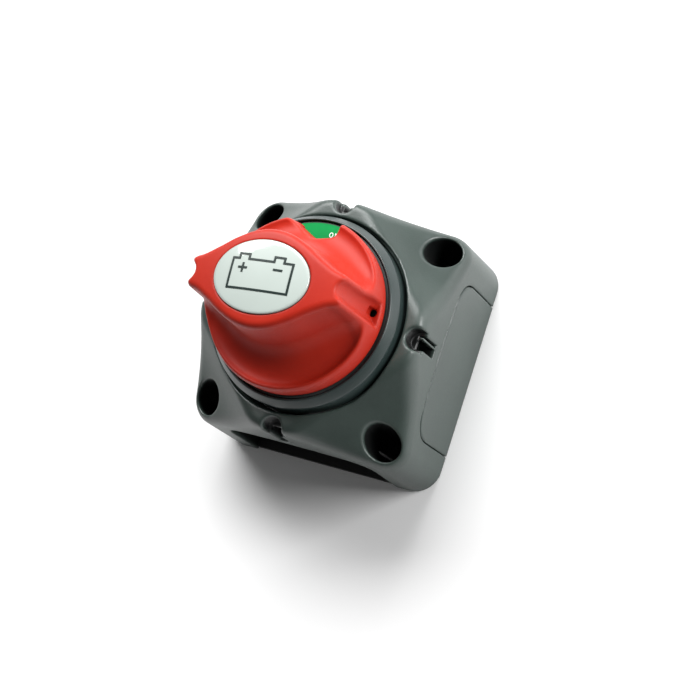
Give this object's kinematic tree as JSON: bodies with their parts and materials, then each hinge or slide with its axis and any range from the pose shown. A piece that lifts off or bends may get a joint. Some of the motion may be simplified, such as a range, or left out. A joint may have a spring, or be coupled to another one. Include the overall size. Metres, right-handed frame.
{
  "type": "rotary battery switch",
  "caption": "Square panel-mount rotary battery isolator with a turning grip knob, viewing notch, status disc, cable entries and rear terminal studs.",
  "frame": {"origin": "centre of the mounting face at the back of the housing, which the part rests on", "axes": "+Z out of the panel along the knob's axis, +Y up on the housing, +X right"},
  "size_m": [0.069, 0.069, 0.074],
  "materials": {
    "housing_plastic": "fine satin texture, dark slate grey",
    "collar_plastic": "satin, dark grey",
    "disc_plastic": "satin",
    "green_print": "printed green",
    "red_print": "printed red",
    "white_print": "printed white",
    "base_plastic": "glass filled, black",
    "zinc_screw": "zinc plated",
    "seal_rubber": "smooth",
    "tinned_copper": "tin plated copper",
    "stainless": "plain stainless",
    "red_plastic": "satin red",
    "label_face": "glossy domed label",
    "label_print": "dark print",
    "brass_insert": "plain",
    "spring_steel": "drawn wire",
    "copper_bar": null
  },
  "bodies": {
    "base": {"housing": "housing_plastic", "rear_cover": "base_plastic", "side_panel_right": "housing_plastic", "side_panel_top": "housing_plastic", "side_panel_left": "housing_plastic", "collar": "collar_plastic", "status_disc": "disc_plastic", "on_sector": "green_print", "off_sector": "red_print", "position_lettering": "white_print", "contact_base": "base_plastic", "case_screws": "zinc_screw", "shaft_seal": "seal_rubber", "terminal_studs": "tinned_copper", "flat_washers": "stainless", "spring_washers": "stainless", "terminal_nuts": "stainless"},
    "knob": {"knob": "red_plastic", "knob_screw": "zinc_screw", "label_dome": "label_face", "battery_symbol": "label_print", "rotor": "base_plastic", "stem_insert": "brass_insert", "bridge_spring": "spring_steel"},
    "bridge": {"contact_bridge": "copper_bar"}
  },
  "joints": [
    {"name": "knob_turn", "type": "hinge", "parent": "base", "child": "knob", "pos_m": [0, 0, 0.05], "axis": [0, 0, 1], "range_deg": [-4.5, 85.5]},
    {"name": "bridge_lift", "type": "slide", "parent": "knob", "child": "bridge", "axis": [0, 0, 1], "range_m": [0, 0.0008], "stiffness_N_per_m": 2500, "springref_m": -0.002, "deforming": ["bridge_spring"]}
  ]
}
